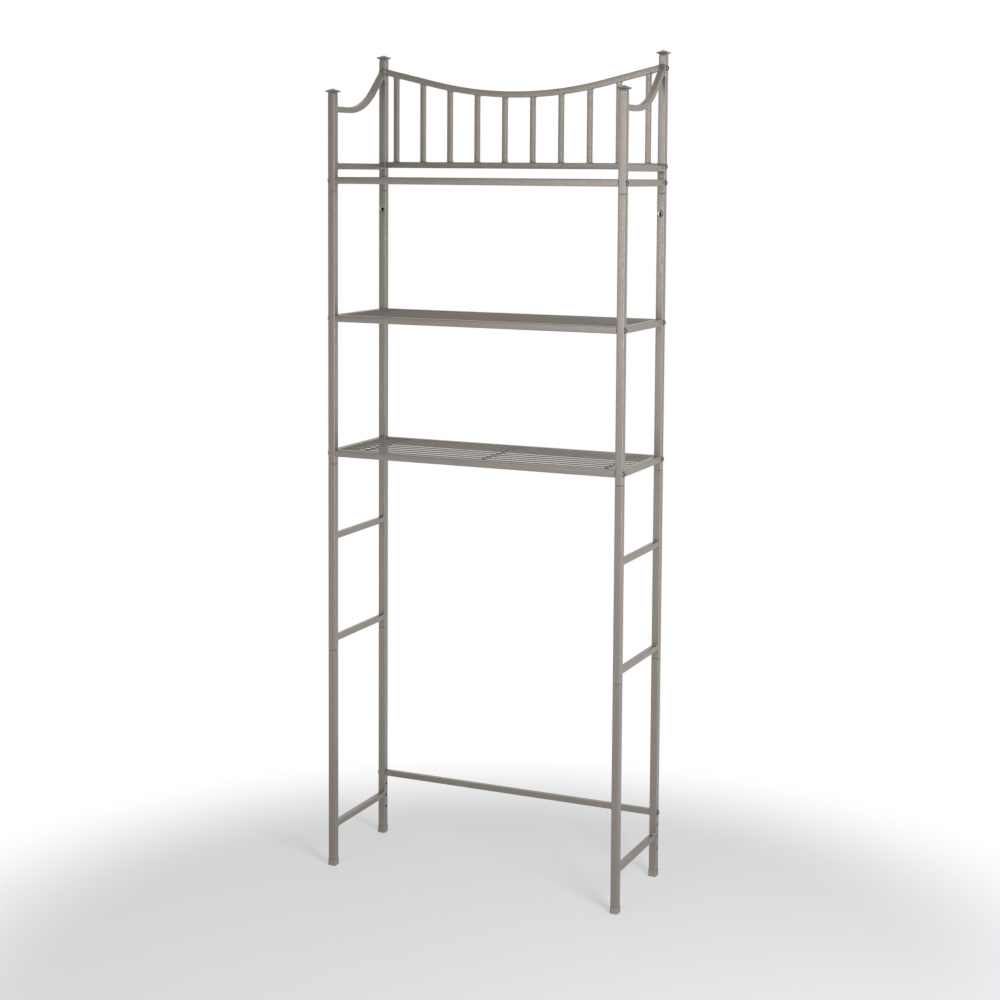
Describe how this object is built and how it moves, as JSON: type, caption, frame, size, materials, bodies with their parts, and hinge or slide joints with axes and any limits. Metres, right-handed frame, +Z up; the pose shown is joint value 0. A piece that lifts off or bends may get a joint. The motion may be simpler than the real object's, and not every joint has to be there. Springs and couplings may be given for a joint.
{
  "type": "over the toilet storage rack",
  "caption": "Tall free-standing rack of square metal tube that straddles a toilet tank, with wire shelves above it, a railed gallery with a sagging arch on top, side rungs and a low back brace.",
  "frame": {"origin": "on the floor under the centre of the rack, at the bottom centre of its bounding box", "axes": "+Z up, -Y to the front where the user stands, +Y to the wall, +X to the right seen from the front"},
  "size_m": [0.6586, 0.2446, 1.7005],
  "materials": {
    "frame": "satin",
    "shelf": "satin",
    "screw": "satin",
    "foot": "matte"
  },
  "bodies": {
    "root": {"arm_left": "frame", "arm_right": "frame", "back_brace": "frame", "back_panel": "frame", "finial_back_left": "frame", "finial_back_right": "frame", "finial_front_left": "frame", "finial_front_right": "frame", "foot_cap_back_left": "foot", "foot_cap_back_right": "foot", "foot_cap_front_left": "foot", "foot_cap_front_right": "foot", "post_back_left_bottom": "frame", "post_back_left_lower": "frame", "post_back_left_middle": "frame", "post_back_left_upper": "frame", "post_back_right_bottom": "frame", "post_back_right_lower": "frame", "post_back_right_middle": "frame", "post_back_right_upper": "frame", "post_front_left_bottom": "frame", "post_front_left_lower": "frame", "post_front_left_middle": "frame", "post_front_left_upper": "frame", "post_front_right_bottom": "frame", "post_front_right_lower": "frame", "post_front_right_middle": "frame", "post_front_right_upper": "frame", "rung_left_bottom": "frame", "rung_left_lower": "frame", "rung_left_upper": "frame", "rung_right_bottom": "frame", "rung_right_lower": "frame", "rung_right_upper": "frame", "screw_brace_left": "screw", "screw_brace_right": "screw", "screw_panel_arch_left": "screw", "screw_panel_arch_right": "screw", "screw_panel_rail_left": "screw", "screw_panel_rail_right": "screw", "screw_shelf_lower_back_left": "screw", "screw_shelf_lower_back_right": "screw", "screw_shelf_lower_front_left": "screw", "screw_shelf_lower_front_right": "screw", "screw_shelf_middle_back_left": "screw", "screw_shelf_middle_back_right": "screw", "screw_shelf_middle_front_left": "screw", "screw_shelf_middle_front_right": "screw", "screw_shelf_upper_back_left": "screw", "screw_shelf_upper_back_right": "screw", "screw_shelf_upper_front_left": "screw", "screw_shelf_upper_front_right": "screw", "shelf_lower": "shelf", "shelf_middle": "shelf", "shelf_upper": "shelf", "side_rail_left": "frame", "side_rail_right": "frame"}
  },
  "joints": []
}
